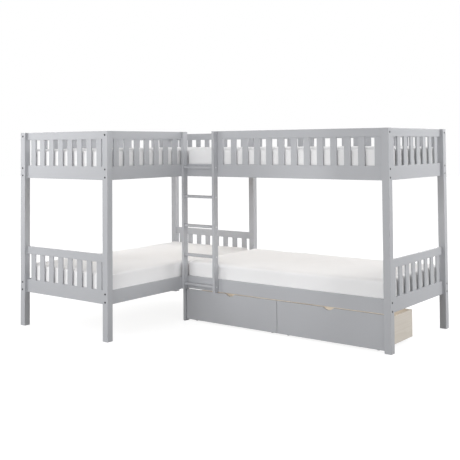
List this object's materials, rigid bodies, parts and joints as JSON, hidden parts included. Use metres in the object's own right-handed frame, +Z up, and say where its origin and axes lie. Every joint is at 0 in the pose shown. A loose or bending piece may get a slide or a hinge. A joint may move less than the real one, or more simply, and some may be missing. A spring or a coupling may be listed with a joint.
{
  "type": "l-shaped bunk bed",
  "caption": "L-shaped bunk bed in light grey painted wood: upper and lower bunks on two arms that share a corner, upright ladder at the inner corner, rolling drawers below.",
  "frame": {"origin": "middle of the floor rectangle that the bed covers, on the floor", "axes": "+X along the right arm to its free end, +Y back along the through arm to the wall behind the right arm, +Z up"},
  "size_m": [3.029, 2.026, 1.657],
  "materials": {
    "grey_paint": "satin light grey paint on solid wood",
    "raw_wood": "unpainted pale softwood boards",
    "pine": "planed pine",
    "ticking": "white woven mattress ticking",
    "steel": "zinc plated",
    "caster_black": "black moulded nylon"
  },
  "bodies": {
    "frame": {"post_front_outer": "grey_paint", "post_front_inner": "grey_paint", "post_back_outer": "grey_paint", "post_back_inner": "grey_paint", "post_right_front": "grey_paint", "post_right_back": "grey_paint", "corner_leg": "grey_paint", "front_end_top_rails": "grey_paint", "front_end_wide_rails": "grey_paint", "front_end_slats": "grey_paint", "back_end_top_rails": "grey_paint", "back_end_wide_rails": "grey_paint", "back_end_slats": "grey_paint", "right_end_top_rails": "grey_paint", "right_end_wide_rails": "grey_paint", "right_end_slats": "grey_paint", "outer_side_rails": "grey_paint", "outer_guard_rail": "grey_paint", "outer_guard_slats": "grey_paint", "inner_side_rails": "grey_paint", "inner_guard_rail": "grey_paint", "inner_guard_slats": "grey_paint", "right_front_side_rails": "grey_paint", "right_front_guard_rail": "grey_paint", "right_front_guard_stiles": "grey_paint", "right_front_guard_slats": "grey_paint", "right_back_side_rails": "grey_paint", "right_back_guard_rail": "grey_paint", "right_back_guard_slats": "grey_paint", "slat_ledges": "pine", "bed_slats_left_upper": "pine", "bed_slats_left_lower": "pine", "bed_slats_right_upper": "pine", "bed_slats_right_lower": "pine", "mattress_left_upper": "ticking", "mattress_left_lower": "ticking", "mattress_right_upper": "ticking", "mattress_right_lower": "ticking", "ladder_uprights": "grey_paint", "ladder_rungs": "grey_paint", "ladder_bolts": "steel", "frame_bolts": "steel", "barrel_nuts": "steel", "dowels": "pine"},
    "left_drawer": {"left_drawer_front": "grey_paint", "left_drawer_sides": "raw_wood", "left_drawer_cross_boards": "raw_wood", "left_drawer_bottom": "raw_wood", "left_drawer_caster_forks": "steel", "left_drawer_axles": "steel"},
    "right_drawer": {"right_drawer_front": "grey_paint", "right_drawer_sides": "raw_wood", "right_drawer_cross_boards": "raw_wood", "right_drawer_bottom": "raw_wood", "right_drawer_caster_forks": "steel", "right_drawer_axles": "steel"},
    "left_front_wheels": {"left_drawer_front_wheels": "caster_black"},
    "left_rear_wheels": {"left_drawer_rear_wheels": "caster_black"},
    "right_front_wheels": {"right_drawer_front_wheels": "caster_black"},
    "right_rear_wheels": {"right_drawer_rear_wheels": "caster_black"}
  },
  "joints": [
    {"name": "left_drawer_slide", "type": "slide", "parent": "frame", "child": "left_drawer", "axis": [0, -1, 0], "range_m": [0, 0.45]},
    {"name": "left_front_wheels_roll", "type": "hinge", "parent": "left_drawer", "child": "left_front_wheels", "pos_m": [0.02175, 0.0085, 0.018], "axis": [1, 0, 0], "continuous": true},
    {"name": "left_rear_wheels_roll", "type": "hinge", "parent": "left_drawer", "child": "left_rear_wheels", "pos_m": [0.02175, 0.4225, 0.018], "axis": [1, 0, 0], "continuous": true},
    {"name": "right_drawer_slide", "type": "slide", "parent": "frame", "child": "right_drawer", "axis": [0, -1, 0], "range_m": [0, 0.45]},
    {"name": "right_front_wheels_roll", "type": "hinge", "parent": "right_drawer", "child": "right_front_wheels", "pos_m": [0.97625, 0.0085, 0.018], "axis": [1, 0, 0], "continuous": true},
    {"name": "right_rear_wheels_roll", "type": "hinge", "parent": "right_drawer", "child": "right_rear_wheels", "pos_m": [0.97625, 0.4225, 0.018], "axis": [1, 0, 0], "continuous": true}
  ],
  "couplings": [
    {"joint": "left_front_wheels_roll", "follows": "left_drawer_slide", "rad_per_m": 55.556},
    {"joint": "left_rear_wheels_roll", "follows": "left_drawer_slide", "rad_per_m": 55.556},
    {"joint": "right_front_wheels_roll", "follows": "right_drawer_slide", "rad_per_m": 55.556},
    {"joint": "right_rear_wheels_roll", "follows": "right_drawer_slide", "rad_per_m": 55.556}
  ]
}
